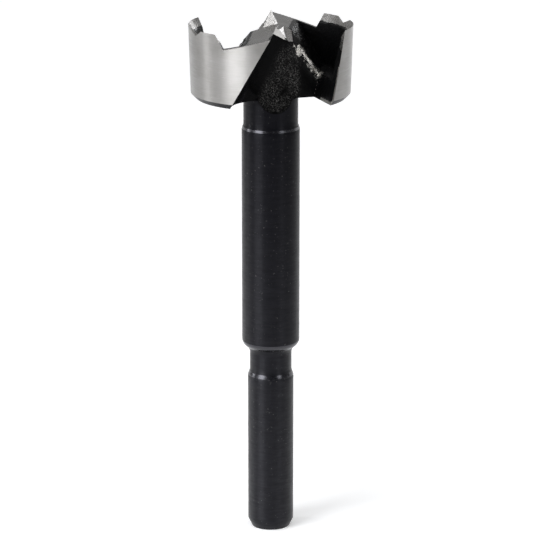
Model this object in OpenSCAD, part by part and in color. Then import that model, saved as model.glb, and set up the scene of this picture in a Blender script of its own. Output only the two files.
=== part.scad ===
// Forstner bit: a boring bit for flat-bottomed holes, forged and turned as one piece of tool steel.
// The axis is Z. The shank ends at Z = 0 and the centre point looks up.
// The two cutting lips run parallel to Y. Seen from the tip, the bit turns counter-clockwise.
// The head is two equal halves: each cut is made once, and again half a turn round.

/* [Shank and neck] */
// Diameter of the shank that a chuck grips
shank_d = 8; // [7.6:0.1:9]
// Length of the shank, from its end to the groove
shank_len = 28.9; // [20:0.1:40]
// Height of the chamfer at the shank end
end_chamfer_h = 1.35; // [0.3:0.05:2]
// Radius that the chamfer takes off the shank end
end_chamfer_r = 0.65; // [0.2:0.05:1.5]
// Diameter of the groove between shank and neck
groove_d = 7.3; // [6:0.1:7.5]
// Length of the groove
groove_len = 3.1; // [2:0.1:8]
// Height of the chamfer from the shank down to the groove
groove_chamfer = 0.9; // [0.3:0.05:1.5]
// Radius of the hollow at the foot of the shoulder
shoulder_hollow_r = 1.6; // [1.2:0.1:2]
// Radius of the round on top of the shoulder
shoulder_round_r = 1.5; // [1:0.1:2]
// Diameter of the neck
neck_d = 10; // [9.7:0.1:11]
// Length of the neck, from the groove to the step under the head
neck_len = 40; // [25:0.1:80]
// Diameter of the step between neck and head
step_d = 9.4; // [9:0.1:9.6]
// Height of the chamfer from the neck to the step
step_chamfer = 0.75; // [0.3:0.05:1.5]
// Length of the step
step_len = 5.5; // [4.5:0.1:10]

/* [Head] */
// Diameter of the hole that the rim cuts
head_d = 28; // [26:0.5:32]
// Height of the head, from its underside to the rim
head_h = 12.5; // [11.5:0.1:14]
// Taper of the outer wall towards the shank, in degrees
back_taper = 1.7; // [0.5:0.1:3]
// Chamfer under the head
head_chamfer = 0.9; // [0.3:0.1:1.5]
// Width of the ground bevel inside the rim
rim_bevel_w = 1.1; // [0.7:0.1:1.6]
// Height of the ground bevel inside the rim
rim_bevel_h = 1.5; // [1:0.1:2.2]
// Thickness of the rim at the floor of the pocket behind the lip
rim_root = 2.2; // [1.7:0.1:3]
// Thickness of the solid floor under that pocket
floor_h = 4; // [3:0.1:5]

/* [Cutting lips] */
// Distance of each lip ahead of the axis
lip_ahead = 1.3; // [1.1:0.05:1.6]
// Depth of the lip's outer corner below the rim
lip_drop = 0.3; // [0.1:0.05:0.6]
// Rise of the lip towards the axis, in degrees
lip_rise = 2.3; // [0:0.1:4]
// Hook of the rake face under the lip, in degrees
rake = 29.8; // [24:0.1:33]
// Fall of the relief land behind the lip, in degrees
relief = 15.7; // [12:0.1:18]
// Width of the relief groove that is ground across the rim
relief_w = 8.1; // [7:0.1:9]
// Steepness of the groove's back wall, in degrees
relief_wall = 61; // [50:1:75]
// Width of the land left behind the lip
land_w = 4.6; // [4:0.1:5.5]
// Steepness of the heel behind the land, in degrees
heel_slope = 56; // [48:1:65]

/* [Chip flutes] */
// Thickness of the web between the two flutes
web = 5.5; // [4.8:0.1:6.2]
// Angle between a flute's back wall and the square of the lip
flute_turn = 22; // [16:1:26]
// Radius in the corner between back wall and rake face
flute_corner_r = 6.5; // [4:0.1:7.5]
// Distance of the flute's far wall from the axis, at the underside of the head
flute_reach = 6.9; // [6.4:0.1:7.6]
// Angle by which the far wall opens from the square of the back wall, in degrees
far_turn = 3.5; // [0:0.5:8]
// Lean of the far wall away from the flute, in degrees
far_lean = 12.5; // [8:0.5:18]
// Radius of the round channel along the back wall
channel_r = 5.5; // [4.5:0.1:7]
// Thickness of the core between the two channels
channel_web = 3.8; // [3.2:0.1:4.4]
// Distance of the channel from the middle of the back wall, towards the lip
channel_offset = 0.6; // [0:0.1:1.2]
// Lean of the channel out of the wall towards the rim, in degrees
channel_lean = 8; // [5:0.5:10]
// Length by which the channel runs out into the step below the head
channel_runout = 2.2; // [1:0.1:3]
// Fall of the gash beside the lip, near the axis, in degrees
gash_fall = 56; // [50:1:62]
// Fall of the gash floor towards the flute, in degrees
gash_floor_fall = 30; // [25:1:35]
// Direction of that fall in plan, in degrees
gash_floor_turn = 47; // [38:1:55]
// Depth of the gash floor beside the centre point, below the rim
gash_depth = 1.1; // [0.8:0.05:1.4]

/* [Rim teeth] */
// Angle behind the lip at which the gullet between the two teeth is deepest
gullet_at = 63.5; // [60:0.5:68]
// Depth of the gullet
gullet_depth = 1.05; // [0.5:0.05:1.4]
// Width of the gullet's steep side, towards the lip
gullet_lead = 1.8; // [1.2:0.1:2.2]
// Width of the gullet's long side, away from the lip
gullet_trail = 2.7; // [2:0.1:3.2]

/* [Centre point] */
// Height of the centre point above the rim
point_h = 2.3; // [1.5:0.1:3.5]
// Width of the centre point's square foot
point_w = 2.5; // [2:0.1:2.6]
// Width of the flat at its tip
point_flat = 0.15; // [0.1:0.05:0.4]

/* [Hidden] */
$fn = 96;
steel = [0.62, 0.62, 0.63];
arc_steps = 8;
// Reach of a cutter past the solid
over = head_d;

shoulder_z = shank_len + groove_len;
step_z = shoulder_z + neck_len;
head_z = step_z + step_len;
rim_z = head_z + head_h;
lip_z = rim_z - lip_drop;
floor_z = head_z + floor_h;
point_foot_z = rim_z - 2 * lip_drop;

head_r = head_d / 2;
shank_r = shank_d / 2;
groove_r = groove_d / 2;
neck_r = neck_d / 2;
step_r = step_d / 2;
head_foot_r = head_r - (head_h - head_chamfer) * tan(back_taper);

// Centres of the two rounds that make the shoulder an S, touching each other
hollow_centre = [groove_r + shoulder_hollow_r, shoulder_z];
round_x = neck_r - shoulder_round_r;
shoulder_reach = shoulder_hollow_r + shoulder_round_r;
shoulder_h = sqrt(pow(shoulder_reach, 2) - pow(round_x - hollow_centre.x, 2));
round_centre = [round_x, shoulder_z + shoulder_h];
shoulder_turn = atan2(shoulder_h, round_x - hollow_centre.x);

// Place of the lip's outer corner on the rim, seen from the tip
lip_angle = -90 + asin(lip_ahead / head_r);
// Point where the lip meets the back wall of the flute, in plan
corner_y = (lip_ahead * sin(flute_turn) - web / 2) / cos(flute_turn);
// Lean of the line where the rake face meets the back wall
corner_lean = atan(tan(rake) / cos(flute_turn));
// Angle between the two walls, square to that line
corner_angle = 90 + atan2(sin(flute_turn) * cos(corner_lean), cos(flute_turn));

// Points of an arc about a centre
function arc(centre, r, from, to) =
    [for (i = [0 : arc_steps]) let (a = from + (to - from) * i / arc_steps) centre + r * [cos(a), sin(a)]];

// Makes a cut on both halves of the head
module both_halves() {
    children();
    rotate([0, 0, 180]) children();
}

// Everything on the upper side of a plane through the origin, within reach
module upper_half() {
    translate([-over, -over, 0]) cube(2 * over);
}

// Moves to the outer corner of the front lip, with Y along the lip towards the axis
module at_lip() {
    translate([lip_ahead, -head_r, lip_z]) rotate([lip_rise, 0, 0]) children();
}

// A profile in X and Z, drawn out along Y from y0 to y1
module along_lip(y0, y1) {
    translate([0, y1, 0]) rotate([90, 0, 0]) linear_extrude(y1 - y0) children();
}

// Shank, groove, shoulder, neck and step, with a cone on top where the flutes run out
module stem() {
    core_r = web / 2;
    rotate_extrude() polygon(concat(
        [[0, 0],
         [shank_r - end_chamfer_r, 0],
         [shank_r, end_chamfer_h],
         [shank_r, shank_len - groove_chamfer],
         [groove_r, shank_len]],
        arc(hollow_centre, shoulder_hollow_r, 180, shoulder_turn),
        arc(round_centre, shoulder_round_r, shoulder_turn - 180, 0),
        [[neck_r, step_z],
         [step_r, step_z + step_chamfer],
         [step_r, head_z],
         [core_r, head_z + step_r - core_r],
         [0, head_z + step_r - core_r]]));
}

// The full round of the head, before its cuts
module head_blank() {
    rotate_extrude() polygon([
        [0, head_z],
        [head_foot_r - head_chamfer, head_z],
        [head_foot_r, head_z + head_chamfer],
        [head_r, rim_z],
        [0, rim_z]]);
}

// Space in front of the back wall and the rake face, with the round corner between them
module flute_walls() {
    half_corner = corner_angle / 2;
    tangent = flute_corner_r / tan(half_corner);
    rake_line = [cos(corner_angle), -sin(corner_angle)];
    translate([lip_ahead, corner_y, lip_z]) rotate([0, 0, flute_turn]) rotate([0, corner_lean, 0])
        translate([0, 0, -2 * over]) linear_extrude(3 * over) polygon(concat(
            [[over, 0]],
            arc([tangent, -flute_corner_r], flute_corner_r, 90, 270 - corner_angle),
            [over * rake_line, [over, -over]]));
}

// Space on the flute's side of its far wall
module flute_span() {
    rotate([0, 0, flute_turn]) translate([flute_reach, -web / 2, head_z]) rotate([0, 0, far_turn])
        rotate([0, far_lean, 0]) translate([-3 * over, -2 * over, -2 * over]) cube([3 * over, 4 * over, 4 * over]);
}

// Round channel along the back wall, ending in a ball below the head
module flute_channel() {
    axis_out = channel_web / 2 + channel_r;
    ball_drop = sqrt(pow(channel_r, 2) - pow(axis_out - step_r, 2));
    ball_z = head_z - channel_runout + ball_drop;
    rotate([0, 0, flute_turn]) translate([-channel_offset, -axis_out, ball_z]) rotate([channel_lean, 0, 0]) {
        sphere(channel_r);
        cylinder(r = channel_r, h = over);
    }
}

// Gash beside the inner end of the lip, which lets chips away from the centre point
module gash() {
    intersection() {
        at_lip() rotate([0, gash_fall, 0]) upper_half();
        translate([lip_ahead, 0, rim_z - gash_depth])
            rotate([0, 0, -gash_floor_turn]) rotate([0, gash_floor_fall, 0]) upper_half();
        translate([lip_ahead, -over, floor_z]) cube([land_w, over + web, over]);
    }
}

// Chip flute in front of the lip, as far as it cuts the head
module flute() {
    intersection() {
        flute_walls();
        flute_span();
    }
}

// Round channel of the flute, kept clear of the lip and of the far wall
module channel() {
    intersection() {
        flute_channel();
        flute_span();
        at_lip() rotate([0, rake, 0]) translate([0, -over, -2 * over]) cube([over, 3 * over, 3 * over]);
    }
}

// Groove ground across the rim behind the lip: its floor is the relief land
module relief_groove() {
    fall = relief_w * tan(relief);
    wall_run = (fall + over) / tan(relief_wall);
    profile = [[0, 0], [-relief_w, -fall], [-relief_w - wall_run, over], [lip_ahead, over], [lip_ahead, 0]];
    at_lip() along_lip(-over, head_r) polygon(profile);
    // Level with the land across the web, where the other lip's heel ends
    at_lip() along_lip(head_r, head_r + web)
        polygon([[-2 * lip_ahead, -2 * lip_ahead * tan(relief)], [-relief_w, -fall],
                 [-relief_w, over], [-2 * lip_ahead, over]]);
}

// Pocket behind the land, inside the rim, with the ground bevel round its top
module pocket() {
    heel_drop = land_w * tan(relief);
    heel_run = (over - heel_drop) / tan(heel_slope);
    intersection() {
        rotate_extrude() polygon([
            [0, floor_z],
            [head_r - rim_root, floor_z],
            [head_r - rim_bevel_w, rim_z - rim_bevel_h],
            [head_r, rim_z],
            [head_r, rim_z + over],
            [0, rim_z + over]]);
        at_lip() along_lip(-over, 2 * over)
            polygon([[-land_w, -heel_drop], [-land_w - heel_run, -over], [-2 * over, -over],
                     [-2 * over, over], [-land_w, over]]);
    }
}

// Gullet between the two teeth of the rim
module gullet() {
    rotate([0, 0, lip_angle - gullet_at]) translate([head_r / 2, 0, rim_z]) rotate([90, 0, 90])
        linear_extrude(head_r) polygon([
            [2 * gullet_lead, gullet_depth],
            [0, -gullet_depth],
            [-2 * gullet_trail, gullet_depth]]);
}

// Square point that centres the bit
module centre_point() {
    translate([0, 0, floor_z]) linear_extrude(point_foot_z - floor_z) square(point_w, center = true);
    translate([0, 0, point_foot_z]) rotate([0, 0, 45])
        cylinder(d1 = point_w * sqrt(2), d2 = point_flat * sqrt(2), h = rim_z + point_h - point_foot_z, $fn = 4);
}

// The whole bit
module forstner_bit() {
    color(steel) {
        difference() {
            union() {
                stem();
                difference() {
                    head_blank();
                    both_halves() flute();
                }
            }
            both_halves() {
                channel();
                gash();
                relief_groove();
                pocket();
                gullet();
            }
        }
        centre_point();
    }
}

forstner_bit();
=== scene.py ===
"""A forstner bit: bright ground cutting edges on a forged and turned body of blackened steel.

The faces of the plain solid are sorted by finish. The mesh is then refined, brought to its true
circles and roughened where it was forged. Sizes are in millimetres unless they carry MM.
"""
import math

import bmesh
import bpy
import numpy as np
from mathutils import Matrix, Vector, noise
from mathutils.kdtree import KDTree


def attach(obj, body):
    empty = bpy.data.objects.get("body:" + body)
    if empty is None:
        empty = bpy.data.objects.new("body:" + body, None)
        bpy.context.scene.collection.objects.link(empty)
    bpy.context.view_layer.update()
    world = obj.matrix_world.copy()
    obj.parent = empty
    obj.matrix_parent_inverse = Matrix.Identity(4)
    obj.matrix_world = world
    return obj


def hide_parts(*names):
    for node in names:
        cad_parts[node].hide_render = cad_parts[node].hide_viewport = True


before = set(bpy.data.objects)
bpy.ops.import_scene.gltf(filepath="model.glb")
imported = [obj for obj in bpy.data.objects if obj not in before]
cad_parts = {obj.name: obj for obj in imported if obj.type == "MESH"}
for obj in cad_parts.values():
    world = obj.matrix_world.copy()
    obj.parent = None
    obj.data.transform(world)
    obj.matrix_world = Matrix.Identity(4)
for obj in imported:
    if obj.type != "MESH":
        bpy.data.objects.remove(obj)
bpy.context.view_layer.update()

MM = 0.001
HALF_TURN = 180
BODY = "root"
NODE = "forstner_bit"

# Sizes of the solid, with angles in degrees
SHANK_R, SHANK_TOP_Z = 4.0, 28.0
END_CHAMFER_R, END_CHAMFER_H = 0.65, 1.35
GROOVE_R, GROOVE_Z, SHOULDER_Z = 3.65, 28.9, 32.0
HOLLOW_R, ROUND_R = 1.6, 1.5
NECK_R, STEP_R, STEP_Z, STEP_CHAMFER = 5.0, 4.7, 72.0, 0.75
HEAD_R, HEAD_Z, RIM_Z, HEAD_CHAMFER, BACK_TAPER = 14.0, 77.5, 90.0, 0.9, 1.7
LIP_AHEAD, LIP_Z, LAND_W, RELIEF = 1.3, 89.7, 4.6, 15.7
HEEL_SLOPE, FLOOR_Z = 56.0, 81.5
GASH_FALL, GASH_FLOOR_FALL, GASH_FLOOR_TURN = 56.0, 30.0, 47.0

# Finishes of the surface, in the order of the piece's material slots
WALL, GROUND, TURNED, FORGED, EDGE = range(5)


def sin(degrees):
    return math.sin(math.radians(degrees))


def cos(degrees):
    return math.cos(math.radians(degrees))


def smooth(low, high, value):
    """0 below low, 1 above high, and a smooth step between them."""
    t = min(max((value - low) / (high - low), 0.0), 1.0)
    return t * t * (3 - 2 * t)


def fading(low, high, value):
    """1 below low, 0 above high, and a smooth step between them."""
    return 1 - smooth(low, high, value)


# Which finish a face has, from its place and direction

HEEL_NORMAL = Vector((-sin(HEEL_SLOPE), 0, cos(HEEL_SLOPE)))
LAND_NORMAL = Vector((-sin(RELIEF), 0, cos(RELIEF)))
GASH_NORMAL = Vector((sin(GASH_FALL), 0, cos(GASH_FALL)))
GASH_FLOOR_NORMAL = Vector((sin(GASH_FLOOR_FALL) * cos(GASH_FLOOR_TURN),
                            -sin(GASH_FLOOR_FALL) * sin(GASH_FLOOR_TURN), cos(GASH_FLOOR_FALL)))

# Least cosine of directions that count as alike, and bounds for the parts of a normal
ALIKE = 0.995
OUTWARD, INWARD, DOWNWARD, LEVEL, STEEP = 0.95, -0.85, -0.3, 0.94, 0.5

# How deep the regions of the head reach, and how far a face may lie off its place
POINT_R, POINT_DEPTH, LAND_DEPTH, RIM_DEPTH, WALL_DEPTH = 2.0, 0.4, 3.5, 2.6, 1.0
HEAD_SLACK, CHANNEL_SLACK, AXIS_SLACK = 0.02, 0.04, 0.01


def faces_as(normal, pattern):
    """True if the normal is the pattern's, on either half of the head."""
    turned = Vector((-normal.x, -normal.y, normal.z))
    return normal.dot(pattern) > ALIKE or turned.dot(pattern) > ALIKE


def outward(normal, x, y):
    """1 for a normal that points away from the axis, and -1 for one that points to it."""
    return (normal.x * x + normal.y * y) / max(math.hypot(x, y), AXIS_SLACK)


def finish_of(centre, normal):
    """The finish of a face of the solid."""
    x, y, z = centre / MM
    r = math.hypot(x, y)
    out = outward(normal, x, y)
    if z < HEAD_Z - HEAD_SLACK:
        in_channel = z > STEP_Z + STEP_CHAMFER and r < STEP_R - CHANNEL_SLACK
        return FORGED if in_channel else TURNED
    if out > OUTWARD and r > HEAD_R - WALL_DEPTH:
        return WALL
    if z < HEAD_Z + HEAD_CHAMFER and normal.z < DOWNWARD:
        return TURNED
    on_point = z > LIP_Z - POINT_DEPTH and r < POINT_R
    on_land = z > LIP_Z - LAND_DEPTH and (faces_as(normal, LAND_NORMAL) or normal.z > LEVEL)
    in_gash = abs(x) < LAND_W - LIP_AHEAD and (
        faces_as(normal, GASH_NORMAL) or faces_as(normal, GASH_FLOOR_NORMAL))
    inner_wall = out < INWARD and normal.z < STEEP
    in_rim = r > HEAD_R - RIM_DEPTH and z > LIP_Z - RIM_DEPTH and not inner_wall
    return GROUND if on_point or on_land or in_gash or in_rim else FORGED


# The ground facet on the back wall of each flute: its lower edge falls from the lip to the gash

FACET_LIP = Vector((0.84, -2.97, 88.71)) * MM
FACET_FOOT = Vector((3.12, -2.01, 87.43)) * MM
FACET_X, FACET_Y, FACET_LEAST_Z = (0.3, 3.4), (-4, 1), 80
CUT_SLACK = 0.0001 * MM


def beside_point(place):
    """True in the room round the front facet."""
    x, y, z = place / MM
    return FACET_X[0] < x < FACET_X[1] and FACET_Y[0] < y < FACET_Y[1] and z > FACET_LEAST_Z


def grind_facets(bm):
    """Cuts the flutes' back walls along the facets' lower edges, and makes the part above bright."""
    down = FACET_FOOT - FACET_LIP
    for half in (1, -1):
        turn = Vector((half, half, 1))
        start = FACET_LIP * turn
        above = Vector((-down.z, 0, down.x)).normalized() * turn

        def wall_faces():
            return [f for f in bm.faces if f.material_index == FORGED
                    and beside_point(f.calc_center_median() * turn)]

        parts = {part for f in wall_faces() for part in (f, *f.edges, *f.verts)}
        bmesh.ops.bisect_plane(bm, geom=list(parts), dist=CUT_SLACK, plane_co=start, plane_no=above)
        for f in wall_faces():
            if (f.calc_center_median() - start).dot(above) > 0:
                f.material_index = GROUND


# Worn and rounded edges

EDGE_W, CREST_W = 0.05 * MM, 0.16 * MM
EDGE_FACES, CREST_FACES = 1, 2
SHARP = math.radians(28)
UPRIGHT = 0.8


def sharp_edges(bm, convex):
    return [e for e in bm.edges if e.is_manifold and e.is_convex == convex
            and e.calc_face_angle(0) > SHARP]


def is_forged(edge):
    return all(f.material_index == FORGED for f in edge.link_faces)


def is_crest(edge):
    return is_forged(edge) and any(faces_as(f.normal, HEEL_NORMAL) for f in edge.link_faces)


def is_upright(edge):
    a, b = (v.co for v in edge.verts)
    return abs((a - b).normalized().z) > UPRIGHT


def along(edges):
    """Points at short steps along edges."""
    places = []
    for e in edges:
        a, b = (v.co.copy() for v in e.verts)
        steps = max(1, int((b - a).length / CREST_W))
        places += [a.lerp(b, i / steps) for i in range(steps + 1)]
    return places


def bevel(bm, edges, width, segments, finish):
    bmesh.ops.bevel(bm, geom=edges, offset=width, offset_type="OFFSET", segments=segments,
                    profile=0.5, affect="EDGES", clamp_overlap=True, material=finish)


def bevel_edges(bm):
    """Rounds the forged crests of the heels and gives the ground edges a narrow worn bevel.

    Returns points along the crests and along the upright inner corners of the flutes.
    """
    crests = [e for e in sharp_edges(bm, convex=True) if is_crest(e)]
    seams = [e for e in sharp_edges(bm, convex=False) if is_forged(e) and is_upright(e)]
    places = along(crests), along(seams)
    bevel(bm, crests, CREST_W, CREST_FACES, FORGED)
    ground = [e for e in sharp_edges(bm, convex=True)
              if any(f.material_index in (WALL, GROUND) for f in e.link_faces)]
    bevel(bm, ground, EDGE_W, EDGE_FACES, EDGE)
    return places


# Refinement: points, corners of triangles and the triangles' finishes as arrays

FORGED_STEP, ROUND_STEP = 0.38 * MM, 1.3 * MM
SMALLEST = 1e-20


def triangle_normals(points, corners):
    """Normals of the triangles, longer for larger ones."""
    a, b, c = (points[corners[:, i]] for i in range(3))
    return np.cross(b - a, c - a)


def to_unit(vectors):
    return vectors / np.maximum(np.linalg.norm(vectors, axis=1), SMALLEST)[:, None]


def point_normals(points, corners):
    across = triangle_normals(points, corners)
    total = np.zeros_like(points)
    for i in range(3):
        np.add.at(total, corners[:, i], across)
    return to_unit(total)


def touched(points, corners, chosen):
    """Which points belong to a chosen triangle."""
    marks = np.zeros(len(points), bool)
    marks[corners[chosen]] = True
    return marks


def split_triangles(points, corners, finish, middles):
    """Cuts triangles at the new points on their edges 01, 12 and 20; -1 means an uncut edge."""
    count = (middles >= 0).sum(axis=1)
    parts = [(corners[count == 0], finish[count == 0])]

    def add(rows, *triangle):
        parts.append((np.stack(triangle, axis=1), finish[rows]))

    def length(i, j):
        return np.linalg.norm(points[i] - points[j], axis=1)

    for k in range(3):
        one = np.flatnonzero((count == 1) & (middles[:, k] >= 0))
        a, b, c = (corners[one, (k + i) % 3] for i in range(3))
        m = middles[one, k]
        add(one, a, m, c)
        add(one, m, b, c)
        two = np.flatnonzero((count == 2) & (middles[:, k] < 0))
        a, b, c = (corners[two, (k + i) % 3] for i in range(3))
        p, q = middles[two, (k + 1) % 3], middles[two, (k + 2) % 3]
        add(two, p, c, q)
        from_a = length(a, p) < length(b, q)
        add(two, a, b, np.where(from_a, p, q))
        add(two, np.where(from_a, a, b), p, q)
    three = np.flatnonzero(count == 3)
    (a, b, c), (p, q, r) = corners[three].T, middles[three].T
    for triangle in ((a, p, r), (p, b, q), (r, q, c), (p, q, r)):
        add(three, *triangle)
    return np.vstack([part[0] for part in parts]), np.concatenate([part[1] for part in parts])


def refine(points, corners, finish, kinds, limit):
    """Halves the edges of the triangles of these finishes until none is longer than the limit."""
    while True:
        ends = np.sort(corners[:, [[0, 1], [1, 2], [2, 0]]].reshape(-1, 2), axis=1)
        edges, edge_of = np.unique(ends, axis=0, return_inverse=True)
        edge_of = edge_of.reshape(-1, 3)
        length = np.linalg.norm(points[edges[:, 0]] - points[edges[:, 1]], axis=1)
        wanted = np.zeros(len(edges), bool)
        wanted[edge_of[np.isin(finish, kinds)]] = True
        halved = wanted & (length > limit)
        if not halved.any():
            return points, corners, finish
        middle = np.full(len(edges), -1)
        middle[halved] = len(points) + np.arange(halved.sum())
        points = np.vstack([points, points[edges[halved]].mean(axis=1)])
        corners, finish = split_triangles(points, corners, finish, middle[edge_of])


# The turned profile, to which the finer points of the round faces are brought

MOST_SAG, HEAD_GAP, LEAST_R = 0.06, 0.1, 0.1


def stem_radius(z):
    """Radius of shank, groove, shoulder, neck and step at a height."""
    if z < END_CHAMFER_H:
        return SHANK_R - END_CHAMFER_R * (1 - z / END_CHAMFER_H)
    if z < SHANK_TOP_Z:
        return SHANK_R
    if z < GROOVE_Z:
        return SHANK_R + (GROOVE_R - SHANK_R) * (z - SHANK_TOP_Z) / (GROOVE_Z - SHANK_TOP_Z)
    if z < SHOULDER_Z:
        return GROOVE_R
    hollow_x, round_x = GROOVE_R + HOLLOW_R, NECK_R - ROUND_R
    reach = HOLLOW_R + ROUND_R
    rise = math.sqrt(reach ** 2 - (round_x - hollow_x) ** 2)
    if z < SHOULDER_Z + rise * HOLLOW_R / reach:
        return hollow_x - math.sqrt(HOLLOW_R ** 2 - (z - SHOULDER_Z) ** 2)
    if z < SHOULDER_Z + rise:
        return round_x + math.sqrt(ROUND_R ** 2 - (SHOULDER_Z + rise - z) ** 2)
    if z < STEP_Z:
        return NECK_R
    return max(STEP_R, NECK_R + (STEP_R - NECK_R) * (z - STEP_Z) / STEP_CHAMFER)


def wall_radius(z):
    """Radius of the head's outer wall, which narrows towards the shank."""
    return HEAD_R - (RIM_Z - z) * math.tan(math.radians(BACK_TAPER))


def bring_to_profile(points, corners, finish):
    """Moves points of the turned and ground round faces out onto their true circles."""
    wall, turned, forged, edge = (touched(points, corners, finish == kind)
                                  for kind in (WALL, TURNED, FORGED, EDGE))
    radius = np.hypot(points[:, 0], points[:, 1]) / MM
    height = points[:, 2] / MM
    stem = turned & ~wall & ~forged & (height < HEAD_Z - HEAD_GAP)
    target = np.array([stem_radius(z) if on_stem else wall_radius(z)
                       for z, on_stem in zip(height, stem)])
    near = (stem | wall) & ~edge & (radius > LEAST_R) & (np.abs(target - radius) < MOST_SAG)
    points[near, :2] *= (target[near] / radius[near])[:, None]


# The forged skin. A pair of numbers gives where a smooth step starts and ends.

SEED = Vector((3.7, 1.9, 8.3))

# Waves of the skin: height and grain size
FINE_WAVES = ((0.012, 0.45), (0.01, 0.8))
LUMP_WAVES = ((0.24, 1.7), (0.14, 0.8), (0.07, 0.42))
SKIN_EDGE = (0.0, 0.7)

# How rough the regions are: the heel by its slope and foot, the pocket behind it, and the crest
HEEL_RISE, HEEL_FOOT_Z = (0.2, 0.5), (FLOOR_Z - 1.5, FLOOR_Z - 0.3)
POCKET_ROUGH, POCKET_FACING, POCKET_R = 0.35, (0.5, 0.9), (10, 11)
POCKET_TOP_Z = (FLOOR_Z + 3, FLOOR_Z + 6)
CREST_ROUGH, CREST_REACH = 0.8, (1.0, 2.6)
LEAST_ROUGH = 0.12

# How far the black is worn off: a sliver on the crest, sparks round it, lumps, seams, trailing edges
SLIVER_WEAR, SLIVER_REACH, SLIVER_TOP_Z = 1.1, (0.3, 0.8), (85.0, 86.2)
SPARK_WEAR, SPARK_LIFT_WEAR, SPARK_LIFT = 0.8, 0.3, (0.0, 0.2)
SPARK_REACH, SPARK_ROUGH = (0.9, 2.4), (0.3, 0.7)
LUMP_WEAR, LUMP_LIFT = 0.85, (0.06, 0.22)
TOP_LESS_WORN, TOP_Z = 0.3, (86.5, 88.0)
SEAM_WEAR, SEAM_REACH = 0.8, (0.05, 0.4)
RAGGED_WEAR, RAGGED_REACH, RAGGED_LEAST_TURN, RAGGED_LEAST_R = 1.17, (0.0, 1.5), 130, 9
RAGGED_LESS = ((0.35, (83.0, 85.5)), (0.5, (86.5, 87.5)))

# How far black skin runs onto the ground faces along the heel and under the rim's bevel
HEEL_SOOT, RIM_SOOT, SOOT_RIM_R, SOOT_RIM_DEPTH = (0.0, 1.9), (0.0, 1.1), 11, 3

# The band of grey grain in each flute, partly the skin's own grain and partly a painted sheen where
# the hollow wall catches the light: where it starts at a height, and how it ends
GRAIN_SHEEN_X, GRAIN_SHEEN_X_Z, GRAIN_SHEEN_WIDENS = 2.2, 86.0, 0.42
GRAIN_SHEEN_START, GRAIN_SHEEN_END_X, GRAIN_SHEEN_END_R, GRAIN_SHEEN_TOP_Z = (-1.2, 0.6), (4.3, 5.6), (5.0, 7.5), (84.0, 88.0)


def waves(point, sizes):
    return sum(height * noise.noise(point / (grain * MM) + SEED) for height, grain in sizes)


def forged_height(point, rough):
    """Height of the forged skin: fine all over, and lumpy where rough is 1."""
    return waves(point, FINE_WAVES) + rough * waves(point, LUMP_WAVES)


def rough_share(point, normal, off_crest):
    """1 on the heel, and less in the pocket behind it, round the crest and on the flute's walls."""
    x, y, z = point / MM
    heel = smooth(*HEEL_RISE, normal.z) * smooth(*HEEL_FOOT_Z, z)
    pocket = POCKET_ROUGH * smooth(*POCKET_FACING, -outward(normal, x, y))
    pocket *= smooth(*POCKET_R, math.hypot(x, y)) * fading(*POCKET_TOP_Z, z)
    return max(heel, pocket, LEAST_ROUGH, CREST_ROUGH * fading(*CREST_REACH, off_crest))


def grain_and_sheen_share(point):
    """1 in the band of each flute that is painted with grey grain, which widens downwards: partly the
    skin's own grain, partly a painted sheen of the hollow wall.
    """
    x, y, z = point / MM
    x = x if y < 0 else -x
    start = GRAIN_SHEEN_X - GRAIN_SHEEN_WIDENS * (GRAIN_SHEEN_X_Z - z)
    band = smooth(start + GRAIN_SHEEN_START[0], start + GRAIN_SHEEN_START[1], x) * fading(*GRAIN_SHEEN_END_X, x)
    return band * fading(*GRAIN_SHEEN_END_R, math.hypot(x, y)) * fading(*GRAIN_SHEEN_TOP_Z, z)


def ragged_share(place):
    """1 at the trailing edges of the flutes, where the black ends raggedly; less towards the rim."""
    x, y, z = (c / MM for c in place)
    turn = math.degrees(math.atan2(y, x)) % HALF_TURN
    if turn < RAGGED_LEAST_TURN or math.hypot(x, y) < RAGGED_LEAST_R:
        return 0.0
    return 1 - sum(less * smooth(*heights, z) for less, heights in RAGGED_LESS)


def worn_share(z, height, rough, off_crest, off_seam):
    """How far the black is worn off; the material adds noise and shows steel where both are high."""
    sliver = SLIVER_WEAR * fading(*SLIVER_REACH, off_crest) * fading(*SLIVER_TOP_Z, z)
    sparks = SPARK_WEAR + SPARK_LIFT_WEAR * smooth(*SPARK_LIFT, height)
    sparks *= fading(*SPARK_REACH, off_crest) * smooth(*SPARK_ROUGH, rough)
    lumps = LUMP_WEAR * smooth(*LUMP_LIFT, height) * rough
    seam = SEAM_WEAR * fading(*SEAM_REACH, off_seam)
    below_top = 1 - TOP_LESS_WORN * smooth(*TOP_Z, z)
    return max(sliver, sparks * below_top, lumps * below_top, seam)


def near_tree(places):
    """Search tree of places, to find how far off the nearest of them is."""
    tree = KDTree(len(places))
    for i, place in enumerate(places):
        tree.insert(place, i)
    tree.balance()
    return tree


def distance(tree, point):
    return tree.find(point)[2] / MM


def heel_triangles(points, corners, finish):
    across = to_unit(triangle_normals(points, corners))
    slope = np.abs(across[:, 0] * HEEL_NORMAL.x) + across[:, 2] * HEEL_NORMAL.z
    return (slope > ALIKE) & (finish == FORGED)


def blacken(points, corners, finish, forged, bright):
    """Share of black skin at each point of the ground faces."""
    radius = np.hypot(points[:, 0], points[:, 1])
    in_rim = (radius > SOOT_RIM_R * MM) & (points[:, 2] > (LIP_Z - SOOT_RIM_DEPTH) * MM)
    heel = touched(points, corners, heel_triangles(points, corners, finish))
    heel_tree, rim_tree = near_tree(points[heel & bright]), near_tree(points[forged & bright & in_rim])
    soot = np.zeros(len(points))
    for i in np.flatnonzero(touched(points, corners, finish == GROUND)):
        soot[i] = 1 - min(smooth(*HEEL_SOOT, distance(heel_tree, points[i])),
                          smooth(*RIM_SOOT, distance(rim_tree, points[i])))
    return soot


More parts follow.
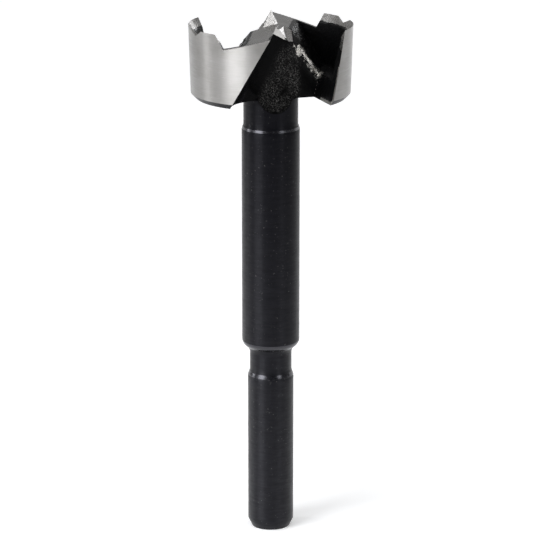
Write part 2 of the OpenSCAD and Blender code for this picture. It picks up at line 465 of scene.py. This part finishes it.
def forge(points, corners, finish, crests, seams):
    """Roughens the forged faces, and returns the shares of each point that the materials read."""
    normals = point_normals(points, corners)
    forged = touched(points, corners, finish == FORGED)
    bright = touched(points, corners, finish != FORGED)
    border_tree, crest_tree, seam_tree = (
        near_tree(places) for places in (points[forged & bright], crests, seams))
    soot = blacken(points, corners, finish, forged, bright)
    wear, lumpy, grainy_sheen = (np.zeros(len(points)) for _ in range(3))
    for i in np.flatnonzero(forged & bright):
        wear[i] = ragged_share(points[i])
    for i in np.flatnonzero(forged & ~bright):
        point = Vector(points[i])
        edge, _, gap = border_tree.find(point)
        gap /= MM
        off_crest = distance(crest_tree, point)
        rough = rough_share(point, Vector(normals[i]), off_crest)
        height = forged_height(point, rough) * smooth(*SKIN_EDGE, gap)
        ragged = RAGGED_WEAR * ragged_share(edge) * fading(*RAGGED_REACH, gap)
        worn = worn_share(point.z / MM, height, rough, off_crest, distance(seam_tree, point))
        # The band of grey grain is partly the skin's own grain and partly a painted sheen.
        wear[i], lumpy[i], grainy_sheen[i] = max(worn, ragged), rough, grain_and_sheen_share(point)
        points[i] += normals[i] * height * MM
    return {"wear": wear, "soot": soot, "lumpy": lumpy, "grainy_sheen": grainy_sheen}


# The whole bit

SAME_POINT, SAME_FACE = 0.002 * MM, math.radians(0.4)


def sorted_solid():
    """The solid with joined points, whole flat faces and a finish on each face."""
    bm = bmesh.new()
    bm.from_mesh(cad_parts[NODE].data)
    bmesh.ops.remove_doubles(bm, verts=bm.verts, dist=SAME_POINT)
    bm.normal_update()
    for f in bm.faces:
        f.material_index = finish_of(f.calc_center_median(), f.normal)
    bmesh.ops.dissolve_limit(bm, angle_limit=SAME_FACE, verts=bm.verts, edges=bm.edges,
                             delimit={"MATERIAL"})
    grind_facets(bm)
    return bm


def make_mesh(points, corners, finish, shares):
    mesh = bpy.data.meshes.new("bit")
    mesh.from_pydata(points.tolist(), [], corners.tolist())
    mesh.polygons.foreach_set("material_index", finish.astype(np.int32))
    mesh.polygons.foreach_set("use_smooth", np.ones(len(corners), bool))
    for name, values in shares.items():
        attribute = mesh.attributes.new(name, "FLOAT", "POINT")
        attribute.data.foreach_set("value", values.astype(np.float32))
    mesh.set_sharp_from_angle(angle=SHARP)
    return mesh


def make_bit():
    """The whole bit as one refined mesh, in place of the plain solid."""
    bm = sorted_solid()
    crests, seams = bevel_edges(bm)
    bmesh.ops.triangulate(bm, faces=bm.faces)
    bm.verts.index_update()
    points = np.array([v.co for v in bm.verts])
    corners = np.array([[v.index for v in f.verts] for f in bm.faces])
    finish = np.array([f.material_index for f in bm.faces])
    bm.free()
    points, corners, finish = refine(points, corners, finish, (WALL, TURNED), ROUND_STEP)
    bring_to_profile(points, corners, finish)
    points, corners, finish = refine(points, corners, finish, (FORGED, GROUND), FORGED_STEP)
    shares = forge(points, corners, finish, crests, seams)
    bit = bpy.data.objects.new("bit", make_mesh(points, corners, finish, shares))
    bpy.context.scene.collection.objects.link(bit)
    return bit


# Materials

# Places of the colour sockets on a Mix node, and a quarter turn of a highlight
MIX_A, MIX_B, MIX_RESULT = 6, 7, 2
QUARTER_TURN = 0.25


class Nodes:
    """The node tree of a material or a world, with short calls to add and join nodes."""

    def __init__(self, owner):
        owner.use_nodes = True
        self.owner = owner
        self.tree = owner.node_tree
        self.shader = self.tree.nodes.get("Principled BSDF")

    def add(self, kind, **settings):
        node = self.tree.nodes.new("ShaderNode" + kind)
        for key, value in settings.items():
            setattr(node, key, value)
        return node

    def join(self, source, target):
        self.tree.links.new(source, target)

    def set(self, **values):
        """Sets inputs of the shader."""
        for key, value in values.items():
            self.shader.inputs[key.replace("_", " ")].default_value = value

    def feed(self, **sources):
        """Joins sockets to inputs of the shader."""
        for key, source in sources.items():
            self.join(source, self.shader.inputs[key.replace("_", " ")])

    def grain(self, scale, detail=4.0, roughness=0.6):
        """Noise in the object's own space: scale gives grains per millimetre along X, Y and Z."""
        place = self.add("TexCoord")
        stretch = self.add("Mapping")
        stretch.inputs["Scale"].default_value = [s / MM for s in scale]
        cloud = self.add("TexNoise", noise_dimensions="3D")
        cloud.inputs["Scale"].default_value = 1.0
        cloud.inputs["Detail"].default_value = detail
        cloud.inputs["Roughness"].default_value = roughness
        self.join(place.outputs["Object"], stretch.inputs["Vector"])
        self.join(stretch.outputs[0], cloud.inputs["Vector"])
        return cloud.outputs["Fac"]

    def share(self, name):
        """One of the shares that the mesh carries at its points."""
        return self.add("Attribute", attribute_name=name, attribute_type="GEOMETRY").outputs["Fac"]

    def range(self, value, span, at_low, at_high):
        """Runs from at_low to at_high while the value crosses the span."""
        node = self.add("MapRange")
        for i, number in enumerate((*span, at_low, at_high)):
            node.inputs[i + 1].default_value = number
        self.join(value, node.inputs[0])
        return node.outputs[0]

    def math(self, operation, a, b):
        node = self.add("Math", operation=operation)
        for socket, value in zip(node.inputs, (a, b)):
            if isinstance(value, (int, float)):
                socket.default_value = value
            else:
                self.join(value, socket)
        return node.outputs[0]

    def mix(self, share, a, b):
        """Blends from a to b, which are colours or sockets."""
        node = self.add("Mix", data_type="RGBA")
        self.join(share, node.inputs["Factor"])
        for place, value in ((MIX_A, a), (MIX_B, b)):
            if isinstance(value, tuple):
                node.inputs[place].default_value = (*value, 1)
            else:
                self.join(value, node.inputs[place])
        return node.outputs[MIX_RESULT]

    def height(self):
        """Height above the shank's end, in metres."""
        place = self.add("TexCoord")
        parts = self.add("SeparateXYZ")
        self.join(place.outputs["Object"], parts.inputs[0])
        return parts.outputs["Z"]

    def band(self, low, high):
        """1 between two heights in millimetres, and 0 elsewhere."""
        near = self.add("Math", operation="COMPARE")
        near.inputs[1].default_value = (low + high) / 2 * MM
        near.inputs[2].default_value = (high - low) / 2 * MM
        self.join(self.height(), near.inputs[0])
        return near.outputs[0]

    def bump(self, height, distance, under=None):
        """Bump of a height map whose full range is this many millimetres."""
        node = self.add("Bump")
        node.inputs["Strength"].default_value = 1.0
        node.inputs["Distance"].default_value = distance * MM
        self.join(height, node.inputs["Height"])
        if under is not None:
            self.join(under, node.inputs["Normal"])
        return node.outputs[0]

    def lie_round_axis(self):
        """Lays the lines of the metal round the bit's axis."""
        around = self.add("Tangent", direction_type="RADIAL", axis="Z")
        self.feed(Tangent=around.outputs[0])
        self.set(Anisotropic_Rotation=QUARTER_TURN)


STEEL_LIGHT, STEEL_DARK = (0.46, 0.45, 0.438), (0.375, 0.364, 0.35)
WALL_LIGHT, WALL_DARK = (0.282, 0.276, 0.268), (0.216, 0.21, 0.201)
EDGE_STEEL, WORN_STEEL = (0.66, 0.65, 0.64), (0.62, 0.6, 0.56)
BLACK_OXIDE, OXIDE_SPECK = (0.0026, 0.0026, 0.0038), (0.07, 0.068, 0.066)
# The grey of the grain in the flutes' bands also paints a sheen on their hollow walls.
BLACK_SCALE, SCALE_GRAIN_SHEEN = (0.002, 0.002, 0.0022), (0.13, 0.127, 0.122)
OXIDE_GLINT = (0.91, 0.91, 1.0, 1)

# Spans of a noise
WIDE, MIDDLE, NARROW = (0.3, 0.7), (0.35, 0.65), (0.4, 0.6)
SCUFF_SPAN, SPECK_SPAN, CLOUD_SPAN, GRAIN_SHEEN_SPAN = (0.35, 0.7), (0.66, 0.74), (0.42, 0.62), (0.48, 0.68)
# Spans of a share, and of a share with noise added
FULL, LUMPY = (0, 1), (0.15, 1.0)
SOOT_ENDS, BLACK_ENDS = (1.2, 1.26), (1.36, 1.42)

# Glossy chamfers of the neck and the shank and the shoulder's underside, by height
GLOSSY_BANDS = ((STEP_Z, STEP_Z + 0.42), (SHANK_TOP_Z, SHANK_TOP_Z + 0.68),
                (SHOULDER_Z + 1.1, SHOULDER_Z + 2.3))
GLOSSY_LEVEL = 0.68
# The stem's gloss falls with height: the heights, and the level at each
GLOSS_Z, GLOSS_LEVELS = (8 * MM, 70 * MM), (0.28, 0.085)


def new_material(name):
    return Nodes(bpy.data.materials.new(name))


def ground_wall():
    """Cylindrical grinding: fine lines round the wall, which draw highlights out up and down."""
    m = new_material("ground_wall")
    lines = m.grain((0.25, 0.25, 7.0), detail=6, roughness=0.75)
    clouds = m.grain((0.12, 0.12, 0.2), detail=3)
    shade = m.math("ADD", m.range(clouds, MIDDLE, 0, 0.65), m.range(lines, MIDDLE, 0, 0.35))
    m.set(Metallic=1.0, Anisotropic=0.75)
    m.feed(Base_Color=m.mix(shade, WALL_LIGHT, WALL_DARK),
           Roughness=m.range(lines, WIDE, 0.26, 0.42),
           Normal=m.bump(lines, 0.006))
    m.lie_round_axis()
    return m.owner


def ground_face():
    """Surface grinding on the lands, teeth and point, with black skin left along some edges."""
    m = new_material("ground_face")
    lines = m.grain((9.0, 0.5, 5.0), detail=5, roughness=0.7)
    clouds = m.grain((0.3, 0.3, 0.3), detail=3)
    flakes = m.grain((1.3, 1.3, 1.3), detail=5, roughness=0.65)
    bare = m.range(m.math("ADD", m.share("soot"), flakes), SOOT_ENDS, 1, 0)
    steel = m.mix(m.range(clouds, MIDDLE, 0, 1), STEEL_LIGHT, STEEL_DARK)
    m.feed(Base_Color=m.mix(bare, BLACK_SCALE, steel),
           Metallic=bare,
           Specular_IOR_Level=m.range(bare, FULL, 0.12, 0.5),
           Roughness=m.range(lines, WIDE, 0.2, 0.36),
           Normal=m.bump(lines, 0.006, under=m.bump(bare, 0.03)))
    return m.owner


def worn_edge():
    """The thin bright line along a ground edge."""
    m = new_material("worn_edge")
    nicks = m.grain((3, 3, 3))
    m.set(Metallic=1.0)
    m.feed(Base_Color=m.mix(m.range(nicks, NARROW, 0, 1), EDGE_STEEL, STEEL_DARK),
           Roughness=m.range(nicks, WIDE, 0.22, 0.45))
    return m.owner


def turned_black():
    """Black oxide on turned steel: rings from the lathe, scuffs, specks and glossier chamfers."""
    m = new_material("turned_black")
    rings = m.grain((0.06, 0.06, 3.2), detail=5, roughness=0.7)
    ripple = m.grain((0.5, 0.5, 2.6), detail=3)
    scuffs = m.grain((1.4, 1.4, 0.35), detail=6, roughness=0.7)
    specks = m.grain((2.6, 2.6, 2.6), detail=3)
    chamfer = m.band(*GLOSSY_BANDS[0])
    for band in GLOSSY_BANDS[1:]:
        chamfer = m.math("MAXIMUM", chamfer, m.band(*band))
    rough = m.math("ADD", m.range(rings, WIDE, 0.0, 0.1), m.range(scuffs, SCUFF_SPAN, 0.25, 0.4))
    gloss = m.math("MULTIPLY", m.range(ripple, MIDDLE, 0.85, 1.15),
                   m.range(m.height(), GLOSS_Z, *GLOSS_LEVELS))
    m.set(Specular_Tint=OXIDE_GLINT)
    m.feed(Base_Color=m.mix(m.range(specks, SPECK_SPAN, 0, 1), BLACK_OXIDE, OXIDE_SPECK),
           Roughness=m.math("MULTIPLY", rough, m.range(chamfer, FULL, 1.0, 0.65)),
           Anisotropic=m.range(chamfer, FULL, 0.8, 0.0),
           Specular_IOR_Level=m.math("MAXIMUM", gloss, m.math("MULTIPLY", chamfer, GLOSSY_LEVEL)),
           Normal=m.bump(scuffs, 0.005, under=m.bump(rings, 0.008)))
    m.lie_round_axis()
    return m.owner


def forged_black():
    """Black scale on the forged faces, glossy and pitted, worn to steel on crests and edges, with grey
    grain that also paints a sheen in a band of each flute.
    """
    m = new_material("forged_black")
    pits = m.grain((2.4, 2.4, 2.4), detail=6, roughness=0.65)
    peel = m.grain((5.0, 5.0, 5.0), detail=3)
    flecks = m.grain((2.8, 2.8, 2.8), roughness=0.7)
    clouds = m.range(m.grain((0.35, 0.35, 0.2), detail=2), CLOUD_SPAN, 0, 1)
    worn = m.range(m.math("ADD", m.share("wear"), flecks), BLACK_ENDS, 0, 1)
    # Grey grain in a band of each flute: partly the skin's own grain, partly a painted sheen.
    grainy_sheen = m.math("MULTIPLY", m.share("grainy_sheen"), clouds)
    sheen_grains = m.math("MULTIPLY", grainy_sheen, m.range(peel, GRAIN_SHEEN_SPAN, 0, 1))
    lumpy = m.share("lumpy")
    coarse = m.range(lumpy, LUMPY, 1, 1.8)
    under = m.bump(m.math("MULTIPLY", pits, coarse), 0.08)
    m.feed(Base_Color=m.mix(worn, m.mix(sheen_grains, BLACK_SCALE, SCALE_GRAIN_SHEEN), WORN_STEEL),
           Metallic=worn,
           Specular_IOR_Level=m.range(lumpy, LUMPY, 0.045, 0.15),
           Roughness=m.range(lumpy, LUMPY, 0.36, 0.17),
           Normal=m.bump(m.math("MULTIPLY", peel, coarse), 0.05, under=under))
    return m.owner


# Studio: floor, soft boxes, surroundings and camera, in metres and degrees

TARGET = Vector((-0.127, -0.012, 46.767)) * MM
CAMERA_TURN, CAMERA_RISE, CAMERA_DISTANCE = 5.6, 15.25, 457.9 * MM
FOCAL_PX, IMAGE_PX, SENSOR = 2638, 540, 36.0

FLOOR_SIZE, FLOOR_PAINT = 6.0, (0.9, 0.9, 0.9, 1)
FLOOR_GLOW_AT, FLOOR_GLOW = (0.1, 0.7), (0.32, 0.56)
ROOM_SPAN, ROOM_LEVELS, ROOM_COLOUR = (-0.3, 0.85), (0.30, 0.05), (1, 1, 1, 1)

LAMP_COLOUR = (0.97, 0.98, 1.0)
# Name, turn, rise, distance, width, height and brightness
LAMPS = (
    ("key_left", -44, 22, 0.75, 0.42, 0.60, 7.7),
    ("fill_right", 52, 25, 0.80, 0.22, 0.50, 4.2),
    ("side_left", -94, 18, 0.85, 0.14, 0.60, 6.6),
    ("rim_right", 128, 10, 0.95, 0.16, 0.40, 1.6),
    ("back_right", 161, 6, 0.95, 0.12, 0.20, 5.0),
    ("above_camera", -12, 35, 0.80, 0.17, 0.13, 5.4),
    ("overhead", 0, 88, 0.95, 0.90, 0.90, 1.05),
)


def direction(turn, rise):
    """Unit vector from the target: turn is to the right of the front, rise above the floor."""
    return Vector((sin(turn) * cos(rise), -cos(turn) * cos(rise), sin(rise)))


def place_facing_target(name, data, turn, rise, distance):
    """Adds a lamp or camera that looks at the target."""
    thing = bpy.data.objects.new(name, data)
    away = direction(turn, rise)
    thing.location = TARGET + distance * away
    thing.rotation_euler = away.to_track_quat("Z", "Y").to_euler()
    bpy.context.scene.collection.objects.link(thing)
    return thing


def make_floor():
    """A wide pale floor that keeps the bit's shadow."""
    bpy.ops.mesh.primitive_plane_add(size=FLOOR_SIZE, location=(0, 0, 0))
    floor = bpy.context.object
    floor.name = "floor"
    m = new_material("floor")
    m.tree.nodes.remove(m.shader)
    paint = m.add("BsdfDiffuse")
    paint.inputs["Color"].default_value = FLOOR_PAINT
    path = m.add("LightPath")
    seen = m.math("MAXIMUM", path.outputs["Is Camera Ray"], path.outputs["Is Glossy Ray"])
    seen = m.math("MAXIMUM", seen, path.outputs["Is Transmission Ray"])
    place = m.add("TexCoord")
    away = m.add("VectorMath", operation="LENGTH")
    m.join(place.outputs["Object"], away.inputs[0])
    level = m.range(away.outputs["Value"], FLOOR_GLOW_AT, *FLOOR_GLOW)
    glow = m.add("Emission")
    m.join(m.math("MULTIPLY", seen, level), glow.inputs["Strength"])
    both = m.add("AddShader")
    m.join(paint.outputs[0], both.inputs[0])
    m.join(glow.outputs[0], both.inputs[1])
    m.join(both.outputs[0], m.tree.nodes["Material Output"].inputs["Surface"])
    floor.data.materials.append(m.owner)


def soft_box(name, turn, rise, distance, width, height, brightness):
    """A rectangular soft box that looks at the bit: brightness 1 is white in a mirror."""
    data = bpy.data.lights.new(name, "AREA")
    data.shape = "RECTANGLE"
    data.size, data.size_y = width, height
    data.energy = brightness * math.pi * width * height
    data.color = LAMP_COLOUR
    place_facing_target(name, data, turn, rise, distance)


def make_surroundings():
    """A white room whose front, round the camera, is darker."""
    world = bpy.data.worlds.new("studio")
    bpy.context.scene.world = world
    m = Nodes(world)
    place = m.add("TexCoord")
    to_front = m.add("VectorMath", operation="DOT_PRODUCT")
    to_front.inputs[1].default_value = direction(CAMERA_TURN, 0)
    m.join(place.outputs["Generated"], to_front.inputs[0])
    back = m.tree.nodes["Background"]
    back.inputs["Color"].default_value = ROOM_COLOUR
    m.join(m.range(to_front.outputs["Value"], ROOM_SPAN, *ROOM_LEVELS), back.inputs["Strength"])


def make_camera():
    data = bpy.data.cameras.new("camera")
    data.sensor_width = SENSOR
    data.lens = SENSOR * FOCAL_PX / IMAGE_PX
    bpy.context.scene.camera = place_facing_target(
        "camera", data, CAMERA_TURN, CAMERA_RISE, CAMERA_DISTANCE)


bit = make_bit()
for make_finish in (ground_wall, ground_face, turned_black, forged_black, worn_edge):
    bit.data.materials.append(make_finish())
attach(bit, BODY)
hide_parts(NODE)

make_floor()
for lamp in LAMPS:
    soft_box(*lamp)
make_surroundings()
make_camera()
bpy.context.scene.view_settings.view_transform = "Standard"
